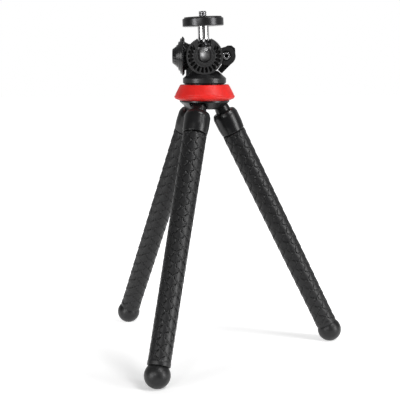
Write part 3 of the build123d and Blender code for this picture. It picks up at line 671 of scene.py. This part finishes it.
@dataclass
class Leg:
    """One leg's collar, patterned rubber sleeve and foot ball, drawn hanging down from the hinge.

    Attributes:
        name: The leg's name.
        azimuth: Degrees from +X at which it stands.
        hinge_radius: Distance of its hinge from the head's axis.
        hinge_height: Height of the hinge.
        splay: Degrees by which it swings out.
        length: Distance from the hinge to the foot ball's centre.
        bend_at: Distance to the bend.
        bend_reach: Length of sleeve on either side of the bend.
        collar_at: Distance to the collar's top.
        collar_end: Distance to its end, where the sleeve starts.
        sleeve_end: Distance to the sleeve's end.
        start_radius: The sleeve's radius at its start.
        end_radius: Its radius at its end.
        core_radius: Radius of its bore.
        lip: Rounding of its ends.
        chains: Number of chains of scales, which is even.
        scale_rows: Number of scales in a chain.
        scale_depth: Height of a scale's lower end.
        rise_power: How evenly a scale rises.
        slit_depth: Depth of the slit under a scale's end.
        slit_share: The slit's share of a scale.
        groove_depth: Depth of the groove between chains.
        groove_power: How narrow the groove is.
        crown_depth: Height of a scale's middle over its sides.
        weave: How far the chains' edges weave, in widths.
        point: Length of a scale's point, in scales.
        fibre_depth: Depth of the fine lines along a scale.
        fibres: Number of these lines.
        seam_depth: Depth of the seam under the collar.
        seam_from: Length over which it is at its full depth.
        seam: Length at which it ends.
        band: Length of the plain band above the foot.
        band_fade: Length over which the pattern fades into it.
        foot_radius: Radius of the foot ball.
        rows: Number of rows of the sleeve's outside.
        bore_rows: Number of rows of its bore.
        columns: Number of columns of both.
    """

    name: str
    azimuth: float
    hinge_radius: float = 12.5
    hinge_height: float = 204.0
    splay: float = 26.293
    length: float = 216.946
    bend_at: float = 117.773
    bend_reach: float = 34.0
    collar_at: float = 6.7
    collar_end: float = 25.1
    sleeve_end: float = 210.447
    start_radius: float = 9.9
    end_radius: float = 8.9
    core_radius: float = 2.5
    lip: float = 0.6
    chains: int = 10
    scale_rows: int = 20
    scale_depth: float = 0.50
    rise_power: float = 0.8
    slit_depth: float = 0.26
    slit_share: float = 0.12
    groove_depth: float = 0.40
    groove_power: int = 6
    crown_depth: float = 0.20
    weave: float = 0.30
    point: float = 0.50
    fibre_depth: float = 0.07
    fibres: int = 2
    seam_depth: float = 1.3
    seam_from: float = 0.4
    seam: float = 1.1
    band: float = 3.4
    band_fade: float = 0.5
    foot_radius: float = 10.0
    rows: int = 410
    bore_rows: int = 60
    columns: int = 200

    def seat(self) -> Seat:
        """Where the leg hangs: swung out at its hinge, then turned to its azimuth."""
        swing = turn_about("Y", -self.splay)
        spin = turn_about("Z", self.azimuth)
        return Seat(spin @ swing, spin @ np.array([self.hinge_radius, 0, self.hinge_height]))

    def relief(self, along: np.ndarray, angle: np.ndarray) -> np.ndarray:
        """Depth of the moulded pattern as a share of the sleeve's full radius.

        Chains of leaf-shaped scales run down the leg, each half a scale behind its neighbour. The
        chains' edges weave as cos(pi l) cos(2 pi r) for a lane l and a row r, so that a scale is
        wide where its neighbours end. With a phase p of 0 to 1 down a scale, its face rises from
        a depth D to nothing as D (1 - p)^0.8, then drops at its pointed lower end into a narrow
        slit, and a shallow groove parts it from the chains beside it.

        Args:
            along: Distance from the hinge, in millimetres.
            angle: Angle about the leg, in radians.

        Returns:
            The depth, as a share of the radius.
        """
        pitch = TURN / self.chains
        scale_length = (self.sleeve_end - self.band - self.collar_end) / self.scale_rows
        row = (along - self.collar_end) / scale_length
        lane = angle / pitch
        lane = lane + self.weave * np.cos(math.pi * lane) * np.cos(TURN * row)
        chain = np.floor(lane)
        across = lane - chain - 0.5
        point = self.point * (1 - 2 * np.abs(across))
        phase = (row + 0.5 * (chain % 2) - point + self.point - 0.5) % 1.0
        slit = self.slit_depth * (1 - smooth(phase, 0.5 * self.slit_share, self.slit_share))
        rise = self.scale_depth * (1 - phase) ** self.rise_power + slit
        groove = self.groove_depth * np.abs(2 * across) ** self.groove_power
        crown = self.crown_depth * (2 * across) ** 2
        crown = crown + self.fibre_depth * (0.5 - 0.5 * np.cos(TURN * self.fibres * across))
        band_start = self.sleeve_end - self.band
        plain = 1 - smooth(along, band_start - self.band_fade, band_start)
        return (rise + groove + crown) * plain / self.start_radius

    def sleeve(self) -> None:
        """Makes the sleeve as a tube with rounded ends."""
        along = np.linspace(self.collar_end, self.sleeve_end, self.rows)[:, None]
        angle = (np.arange(self.columns) * TURN / self.columns)[None, :]
        share = (along - self.collar_end) / (self.sleeve_end - self.collar_end)
        radius = self.start_radius + share * (self.end_radius - self.start_radius)
        radius = radius * (1 - self.relief(along, angle))
        from_end = np.minimum(self.sleeve_end - along, along - self.collar_end)
        rounding = np.clip(1 - from_end / self.lip, 0, 1)
        radius = radius - self.lip * (1 - np.sqrt(1 - rounding * rounding * 0.999))
        open_seam = smooth(along, self.collar_end + self.seam_from, self.collar_end + self.seam)
        radius = radius - self.seam_depth * (1 - open_seam)
        level = np.linspace(-self.sleeve_end, -self.collar_end, self.bore_rows)[:, None]
        skin = Skin()
        seat = self.seat()
        wall = skin.grid(seat(around(radius, -angle, -along)))
        bore = skin.grid(seat(around(self.core_radius, -angle, level)))
        skin.join(wall[-1], bore[0])
        skin.join(bore[-1], wall[0])
        sleeve = skin.object(f"{self.name}_leg_sleeve", RUBBER)
        middle = np.array([0.0, 0.0, -self.bend_at])
        reach = np.array([0.0, 0.0, self.bend_reach])
        tuple(seat(middle + reach) * MM)
        tuple(seat(middle - reach) * MM)
        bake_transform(sleeve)
        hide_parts(f"{self.name}_upper_sleeve", f"{self.name}_lower_sleeve")
        LOG.info("%s sleeve: %d faces", self.name, len(skin.faces))

    def collar(self) -> None:
        """Makes the barrel-shaped collar with its softly rounded shoulder."""
        top, end = -self.collar_at, -self.collar_end
        outline = (
            (6.3, top - 2.0), (6.3, end + 0.2), (9.7, end, 0.15), (9.85, end + 0.4, 0.2),
            (10.4, end + 6.0, 20.0), (10.45, top - 3.6, 5.5), (9.0, top - 0.25, 1.6), (6.3, top, 0.5),
            (6.3, top - 2.0),
        )
        Turned(
            f"{self.name}_leg_collar", f"{self.name}_leg", GLOSS_BLACK, filleted(outline, 10)[:-1],
            self.seat(), f"{self.name}_collar", ring=True, segments=160,
        ).build()

    def foot(self) -> None:
        """Makes the rubber foot ball, pressed flat where it stands."""
        seat_at = -self.sleeve_end
        profile = ball_profile(self.foot_radius, -self.length, -89.0, 40.4, 56)
        profile = np.concatenate([profile, [[7.1, seat_at - 0.25], [6.8, seat_at - 0.05]]])
        Foot(
            f"{self.name}_foot_ball", f"{self.name}_lower_leg", RUBBER, profile, self.seat(),
            f"{self.name}_foot", segments=112,
        ).build()


@dataclass
class CameraScrew:
    """Threaded camera screw on the platform, with its plain shank inside it.

    Attributes:
        pad_top: Height of the pad's face above the ball's centre.
        pad_thickness: Thickness of the pad.
        shank_length: Length of the shank in the platform.
        shank_radius: Its radius.
        radius: Outer radius of the thread.
        length: Length of the thread above the pad.
        chamfer: Chamfer of its tip.
        pitch: Rise of the thread in one turn.
        thread_depth: Depth of the thread.
        thread_slope: Steepness of its sides, in depths per pitch.
        thread_floor: Depth at which the sides would meet. What is over 1 is cut flat.
        run_in: Height over which the thread begins.
        rows: Number of rows of the thread.
        columns: Number of columns.
    """

    pad_top: float = 31.2
    pad_thickness: float = 0.9
    shank_length: float = 3.0
    shank_radius: float = 2.8
    radius: float = 3.175
    length: float = 4.5
    chamfer: float = 0.5
    pitch: float = 1.27
    thread_depth: float = 0.62
    thread_slope: float = 3.4
    thread_floor: float = 1.25
    run_in: float = 0.25
    rows: int = 96
    columns: int = 72

    def build(self) -> None:
        """Makes the screw, whose radius falls in a V that climbs one pitch a turn."""
        angle = (np.arange(self.columns) * TURN / self.columns)[None, :]
        tip = self.pad_top + self.length
        level = np.linspace(self.pad_top, tip, self.rows)[:, None]
        phase = (level / self.pitch - angle / TURN) % 1.0
        valley = np.clip(self.thread_floor - np.abs(phase - 0.5) * self.thread_slope, 0, 1)
        ready = smooth(level, self.pad_top, self.pad_top + self.run_in)
        radius = self.radius - self.thread_depth * valley * ready
        radius = np.minimum(radius, self.radius - self.chamfer + (tip - level))
        foot = self.pad_top - self.pad_thickness - self.shank_length
        side = np.array([[self.shank_radius, foot], [self.shank_radius, self.pad_top - 0.01]])
        shank = revolved(side, self.columns)
        seat = stem_seat()
        skin = Skin()
        low = skin.grid(seat(shank))
        high = skin.grid(seat(around(radius, angle, level)))
        skin.join(low[-1], high[0])
        skin.cap(low[0], seat(np.array([0, 0, foot])), False)
        skin.cap(high[-1], seat(np.array([0, 0, tip])), True)
        screw = skin.object("camera_screw_thread", SCREW_STEEL, 50)
        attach(screw, "platform")
        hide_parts("camera_screw")


@dataclass
class TrimRing:
    """Red ring round the hub.

    Attributes:
        bottom: Height of its lower face.
        peak: Height of its upper face.
        bore: Radius of its bore.
        foot: Radius of its lower face.
        band: Radius of its plain band, the widest part.
        band_height: Height of the band's upper edge over the lower face.
        ledge: Width of the step over the band.
        shoulder: Radius at which the sloping face ends.
        top: Radius of the upper face.
        shoulder_drop: Drop from the upper face to its end.
    """

    bottom: float = 207.3
    peak: float = 219.8
    bore: float = 17.4
    foot: float = 20.9
    band: float = 24.5
    band_height: float = 3.5
    ledge: float = 0.75
    shoulder: float = 20.5
    top: float = 19.3
    shoulder_drop: float = 1.6

    def build(self) -> None:
        """Makes the ring: rounded foot, band with a ledge, sloping face and a stepped top edge."""
        low, high, band = self.bottom, self.peak, self.band
        rim, edge = low + self.band_height, band - self.ledge
        outline = (
            (self.bore, low), (self.foot, low, 0.9), (band - 0.6, low + 1.2, 1.2),
            (band, rim - 1.2, 0.6), (band, rim - 0.2, 0.25), (edge, rim + 0.5, 0.15),
            (edge - 0.1, rim + 1.3, 0.3), (self.shoulder + 0.15, high - self.shoulder_drop - 0.2, 0.6),
            (self.top + 0.5, high - 0.35, 0.3), (self.top, high, 0.2), (self.bore, high),
            (self.bore, low),
        )
        Turned(
            "trim_ring_band", "hub", RED, filleted(outline)[:-1], Seat(np.eye(3), np.zeros(3)),
            "trim_ring", ring=True, segments=192,
        ).build()


@dataclass
class RibbedKnob(Turned):
    """Turned piece whose outline is scalloped or ribbed between two heights.

    Attributes:
        ribs: Number of ribs.
        rib_depth: Depth between ribs, in millimetres.
        rib_from: Height at which they begin.
        rib_to: Height at which they end.
        rib_power: How narrow the ribs are. 1 is a plain wave.
    """

    ribs: int = 24
    rib_depth: float = 0.4
    rib_from: float = 0.0
    rib_to: float = 1.0
    rib_power: float = 1.0

    def shaped(self, points: np.ndarray) -> np.ndarray:
        """Draws the radius in by a wave of the angle, inside the two heights."""
        radius = np.hypot(points[..., 0], points[..., 1])
        angle = np.arctan2(points[..., 1], points[..., 0])
        wave = (0.5 - 0.5 * np.cos(angle * self.ribs)) ** self.rib_power
        inside = (points[..., 2] > self.rib_from) & (points[..., 2] < self.rib_to)
        factor = 1 - np.where(inside, wave * self.rib_depth, 0) / np.maximum(radius, 1e-6)
        shaped = points.copy()
        shaped[..., :2] *= factor[..., None]
        return shaped


@dataclass
class Cheek:
    """Front cheek of the socket: a round plate with a U-shaped notch, rings and a crown of pockets.

    Attributes:
        notch: Half the width of the notch for the stem.
        radius: Outer radius, over the fine teeth of its rim.
        face: Distance of its face from the head's axis, towards the front.
        thickness: Thickness behind the face.
        pockets: Number of pockets round a full turn.
        pocket_from: Radius at which a pocket begins.
        pocket_to: Radius at which it ends.
        pocket_share: Share of the pitch that it takes up.
        pocket_depth: Depth of a pocket.
        rings: Radii at which the two rings begin.
        ring_slope: Width of a ring's slopes.
        ring_width: Width of a ring with its slopes.
        ring_height: Height of the rings over the face.
        teeth: Number of teeth on the rim.
        tooth_depth: Their depth.
        edge: Chamfer of the rim.
        notch_edge: Chamfer of the notch.
        wall: Half the width of a pocket's steep end.
        pocket_margin: Distance that the pockets keep from the notch.
        tooth_margin: Distance that the teeth keep from it.
        columns: Number of columns of the grid.
    """

    notch: float = 5.3
    radius: float = 14.8
    face: float = 14.0
    thickness: float = 2.4
    pockets: int = 22
    pocket_from: float = 9.0
    pocket_to: float = 13.2
    pocket_share: float = 0.62
    pocket_depth: float = 1.9
    rings: tuple[float, float] = (6.3, 8.1)
    ring_slope: float = 0.15
    ring_width: float = 0.7
    ring_height: float = 0.45
    teeth: int = 72
    tooth_depth: float = 0.3
    edge: float = 0.3
    notch_edge: float = 0.2
    wall: float = 0.02
    pocket_margin: float = 1.1
    tooth_margin: float = 1.3
    columns: int = 1440

    def levels(self) -> np.ndarray:
        """Rows of the grid, from the notch outwards.

        Returns:
            Each row's radius, and its depth behind the face, which is negative on a ring.
        """
        levels = [(self.notch, self.notch_edge), (self.notch + self.notch_edge, 0.0)]
        top, slope = -self.ring_height, self.ring_slope
        for start in self.rings:
            end = start + self.ring_width
            levels += [(start, 0.0), (start + slope, top), (end - slope, top), (end, 0.0)]
        for end in (self.pocket_from, self.pocket_to):
            levels += [(end - self.wall, 0.0), (end + self.wall, 0.0)]
        return np.array(levels + [(self.radius - self.edge, 0.0), (self.radius, self.edge)])

    def build(self) -> None:
        """Makes the cheek from a grid of rows round the notch, closed at its flat sides.

        A row of radius r runs clockwise from the notch's right wall, at the angle acos(n / r), to
        its left wall. The face rises by the rings' height and falls by the pockets' depth.
        """
        inner, outer = self.pocket_from, self.pocket_to
        levels = self.levels()
        radius = levels[:, :1]
        wall = np.arccos(np.minimum(1.0, self.notch / radius))
        share = np.linspace(0, 1, self.columns)[None, :]
        angle = wall - share * (math.pi + 2 * wall)
        turn = (angle - 0.5 * math.pi) / TURN * self.pockets
        near = np.abs(turn - np.round(turn - 0.5) - 0.5)
        clear = np.abs(inner * np.cos(angle)) > self.notch + self.pocket_margin
        clear = clear | (np.sin(angle) < 0)
        sunk = (near < 0.5 * self.pocket_share) & (radius > inner) & (radius < outer) & clear
        depth = -self.face + np.where(sunk, self.pocket_depth, levels[:, 1:])
        toothed = angle * self.teeth / TURN % 1.0 > 0.5
        toothed = toothed & (np.abs(np.cos(angle) * self.radius) > self.notch + self.tooth_margin)
        toothed = toothed & (radius > outer + 2 * self.wall)
        reach = radius - np.where(toothed, self.tooth_depth, 0.0)
        front = np.stack([reach * np.cos(angle), depth, reach * np.sin(angle)], axis=-1)
        back = front[[-1, 0]].copy()
        back[..., 1] = self.thickness - self.face
        points = np.concatenate([front, back]) + np.array([0.0, 0.0, BALL_HEIGHT])
        skin = Skin()
        rows = skin.grid(points, wrap=False, loop=True)
        skin.faces.append(tuple(rows[:, 0].tolist()))
        skin.faces.append(tuple(rows[::-1, -1].tolist()))
        cheek = skin.object("socket_cheek", CHEEK_BLACK, 30)
        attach(cheek, "head")
        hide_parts("socket_front_shell")


@dataclass
class Head:
    """Round pieces of the ball head: knob, ball, stem and platform.

    Attributes:
        knob_waist: Radius and height of the inner end of the knob's sloping face.
        knob_skirt: Radius and height of its outer end.
        knob_ridges: Number of ridges on it.
        ridge: A ridge's corners, as a share of the face's length and a height over it.
        ridge_fillet: Fillet of these corners.
    """

    knob_waist: tuple[float, float] = (7.75, 22.5)
    knob_skirt: tuple[float, float] = (15.6, 17.8)
    knob_ridges: int = 3
    ridge: tuple[tuple[float, float], ...] = ((-0.11, -0.2), (-0.03, 0.42), (0.03, 0.42), (0.11, -0.2))
    ridge_fillet: float = 0.15

    def knob_face(self) -> list[tuple[float, float, float]]:
        """Corners of the knob's ridged face, from its skirt to its waist.

        Returns:
            Radius, height and fillet of each corner.
        """
        waist, skirt = np.array(self.knob_waist), np.array(self.knob_skirt)
        along = skirt - waist
        outward = np.array([-along[1], along[0]]) / np.linalg.norm(along)
        face = []
        for number in range(self.knob_ridges):
            middle = (number + 0.75) / self.knob_ridges
            for shift, height in self.ridge:
                spot = skirt - along * (middle + shift) + outward * height
                face.append((*spot, self.ridge_fillet))
        return face

    def knob(self) -> None:
        """Makes the flared lock knob with its ridges and scalloped edge, and its ribbed cap."""
        seat = Seat(turn_about("Y", -90), np.array([0, 0, BALL_HEIGHT]))
        flare = filleted([*KNOB_BACK, *self.knob_face(), *KNOB_BORE], 4)
        RibbedKnob(
            "lock_knob_flare", "knob", KNOB_BLACK, flare[:-1], seat, "lock_knob", ring=True,
            segments=288, ribs=24, rib_depth=0.55, rib_from=15.0, rib_to=18.2, rib_power=2.0,
        ).build()
        RibbedKnob(
            "lock_knob_cap_face", "knob", KNOB_BLACK, filleted(KNOB_CAP), seat, "lock_knob_cap",
            segments=256, ribs=16, rib_depth=0.5, rib_from=23.05, rib_to=25.6, rib_power=3.0,
        ).build()

    def stem_parts(self) -> None:
        """Makes the ball, its collar, the bright stem, the round platform and its rubber pad."""
        seat = stem_seat()
        ball = np.concatenate([ball_profile(9.0, 0.0, -89.0, 53.0, 72), BALL_TOP])
        collar, disc = filleted(STEM_COLLAR)[:-1], filleted(PLATFORM, 8)
        for name, body, finish, profile, node, ring, segments in (
            ("ball_sphere", "ball_group", BALL_METAL, ball, "ball", False, 144),
            ("stem_collar_ring", "ball_group", DARK_METAL, collar, "stem_collar", True, 128),
            ("stem_rod", "platform", CHROME, filleted(STEM, 10), "ball_stem", False, 160),
            ("platform_disc", "platform", DARK_METAL, disc, "screw_platform", False, 192),
            ("platform_rubber", "platform", RUBBER, filleted(PAD), "platform_pad", False, 160),
        ):
            Turned(name, body, finish, profile, seat, node, ring, segments).build()

    def build(self) -> None:
        """Makes all of them."""
        Cheek().build()
        self.knob()
        self.stem_parts()


@dataclass(frozen=True)
class Softbox:
    """Lamp that faces the tripod's middle.

    Attributes:
        name: The lamp's name.
        azimuth: Degrees to the right of the camera's side, seen from above.
        height: Metres above the floor.
        distance: Metres from the head's axis.
        size: Width and height in metres.
        power: Watts.
        aim_height: Height of the point that it faces, in metres.
    """

    name: str
    azimuth: float
    height: float
    distance: float
    size: tuple[float, float]
    power: float
    aim_height: float = 0.16

    def build(self) -> None:
        """Hangs the lamp up."""
        data = bpy.data.lights.new(self.name, "AREA")
        data.shape = "RECTANGLE"
        data.size, data.size_y = self.size
        data.energy = self.power
        lamp = bpy.data.objects.new(self.name, data)
        turn = math.radians(self.azimuth)
        lamp.location = (self.distance * math.sin(turn), -self.distance * math.cos(turn), self.height)
        aim = Vector((0, 0, self.aim_height)) - lamp.location
        lamp.rotation_euler = aim.to_track_quat("-Z", "Y").to_euler()
        bpy.context.scene.collection.objects.link(lamp)


SOFTBOXES = (
    Softbox("left_softbox", -47, 0.28, 1.25, (0.42, 0.60), 6.3),
    Softbox("right_softbox", 60, 0.35, 1.25, (0.42, 0.80), 9),
    Softbox("high_softbox", 50, 1.25, 0.85, (0.34, 0.60), 9),
    Softbox("near_softbox", -20, 0.60, 1.20, (0.22, 0.22), 3),
)


@dataclass
class Studio:
    """Floor, lamps, world and camera of a plain white studio.

    Attributes:
        camera_place: The camera's place in millimetres.
        camera_pitch: Degrees by which it looks down.
        camera_roll: Degrees by which it is rolled.
        focal_pixels: Its focal length in pixels of the frame.
        frame_pixels: Width of the frame in pixels.
        sensor: Width of the sensor in millimetres.
        floor_front: Metres of floor on the camera's side.
        floor_back: Metres of floor behind.
        floor_side: Metres of floor to either side.
        glow_centre: Point in metres from which the floor's glow grows.
        glow_from: Distance from it at which that begins.
        glow_to: Distance at which it is full.
        near_glow: The floor's glow by the tripod.
        far_glow: Its full glow.
        room_span: Direction's share away from the camera over which the room brightens.
        room_glow: The room's glow on the camera's side and on the far side.
    """

    camera_place: tuple[float, float, float] = (-4.1, -800.0, 243.2)
    camera_pitch: float = 8.39
    camera_roll: float = -0.27
    focal_pixels: float = 980.9
    frame_pixels: float = 400.0
    sensor: float = 36.0
    floor_front: float = 0.26
    floor_back: float = 5.0
    floor_side: float = 1.6
    glow_centre: tuple[float, float, float] = (0.0, -0.15, 0.0)
    glow_from: float = 0.05
    glow_to: float = 0.42
    near_glow: float = 0.36
    far_glow: float = 1.0
    room_span: tuple[float, float] = (-0.20, 0.95)
    room_glow: tuple[float, float] = (0.10, 0.50)

    def camera(self) -> None:
        """Sets up the camera at the photograph's place, tilt and focal length."""
        data = bpy.data.cameras.new("camera")
        data.sensor_width = self.sensor
        data.lens = self.focal_pixels * self.sensor / self.frame_pixels
        data.clip_start = 0.02
        data.clip_end = 50
        camera = bpy.data.objects.new("camera", data)
        pitch, roll = math.radians(self.camera_pitch), math.radians(self.camera_roll)
        forward = Vector((0, math.cos(pitch), -math.sin(pitch)))
        level_up = Vector((0, math.sin(pitch), math.cos(pitch)))
        side = Vector((1, 0, 0))
        right = side * math.cos(roll) + level_up * math.sin(roll)
        up = level_up * math.cos(roll) - side * math.sin(roll)
        turn = Matrix((right, up, -forward)).transposed().to_4x4()
        camera.matrix_world = Matrix.Translation(Vector(self.camera_place) * MM) @ turn
        bpy.context.scene.collection.objects.link(camera)
        bpy.context.scene.camera = camera

    def floor(self) -> None:
        """Pale floor that stays white to the camera, in mirrors and glass, and keeps a soft shadow."""
        side, front, back = self.floor_side, -self.floor_front, self.floor_back
        mesh = bpy.data.meshes.new("floor")
        places = [(-side, front, 0), (side, front, 0), (side, back, 0), (-side, back, 0)]
        mesh.from_pydata(places, [], [(0, 1, 2, 3)])
        floor = bpy.data.objects.new("floor", mesh)
        bpy.context.scene.collection.objects.link(floor)
        material = bpy.data.materials.new("floor")
        bench = NodeBench(material)
        ends = {0: bench.place(), 1: self.glow_centre}
        far = bench.add("ShaderNodeVectorMath", {"operation": "DISTANCE"}, ends, 1)
        level = self.seen(bench) * far.step(self.glow_from, self.glow_to, self.near_glow, self.far_glow)
        paper = bench.add("ShaderNodeBsdfDiffuse", {}, {"Color": (0.8, 0.8, 0.8, 1)})
        glow = bench.add("ShaderNodeEmission", {}, {"Color": (1, 1, 1, 1), "Strength": level})
        bench.output("Material", bench.add("ShaderNodeAddShader", {}, {0: paper, 1: glow}))
        mesh.materials.append(material)
        floor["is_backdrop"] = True

    @staticmethod
    def seen(bench: NodeBench) -> Shade:
        """1 for rays from the camera, a mirror or glass, and 0 for light that falls on the object."""
        kinds = ("Camera", "Glossy", "Transmission")
        rays = [bench.add("ShaderNodeLightPath", {}, {}, f"Is {kind} Ray") for kind in kinds]
        return rays[0] + rays[1] + rays[2]

    def world(self) -> None:
        """White surroundings, dimmer on the camera's side of the room."""
        world = bpy.data.worlds.new("World")
        bpy.context.scene.world = world
        bench = NodeBench(world)
        direction = bench.add("ShaderNodeTexCoord", {}, {}, "Generated")
        depth = bench.add("ShaderNodeSeparateXYZ", {}, {0: direction}, 1)
        camera = bench.add("ShaderNodeLightPath", {}, {}, "Is Camera Ray")
        room = depth.step(*self.room_span, *self.room_glow)
        strength = camera + room * (1 - camera)
        white = bench.add("ShaderNodeBackground", {}, {"Color": (1, 1, 1, 1), "Strength": strength})
        bench.output("World", white)

    def build(self) -> None:
        """Makes the whole studio."""
        scene = bpy.context.scene
        scene.view_settings.view_transform = "Standard"
        self.world()
        self.floor()
        for softbox in SOFTBOXES:
            softbox.build()
        self.camera()


def dress_cad(nodes: Mapping[str, bpy.types.Object], slots: Mapping[str, str]) -> None:
    """Gives every CAD node the finish of its record slot.

    Args:
        nodes: The frame's node objects.
        slots: Slot name of each node.
    """
    for name, obj in nodes.items():
        finish = NODE_FINISHES.get(name, FINISHES[slots[name]])
        finish.dress(obj)
        LOG.info("%s wears %s", name, finish.label or finish.slot)


def corners(box: Iterable[Iterable[float]]) -> list[list[float]]:
    """Two corners as plain lists of numbers."""
    return [[float(value) for value in corner] for corner in box]


def main() -> None:
    """Builds the tripod's looks round its CAD frame."""
    logging.basicConfig(level=logging.INFO, format="%(name)s: %(message)s")
    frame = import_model()
    cad_box = corners(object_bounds())
    slots = {part["node"]: part["material_slot"] for part in frame["record"]["subparts"]}
    dress_cad(frame["nodes"], slots)
    for name, azimuth in LEG_AZIMUTHS.items():
        leg = Leg(name, azimuth)
        leg.collar()
        leg.sleeve()
        leg.foot()
    TrimRing().build()
    Head().build()
    CameraScrew().build()
    Studio().build()
    {"cad": cad_box, "visual": corners(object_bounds())}


if __name__ == "__main__":
    main()
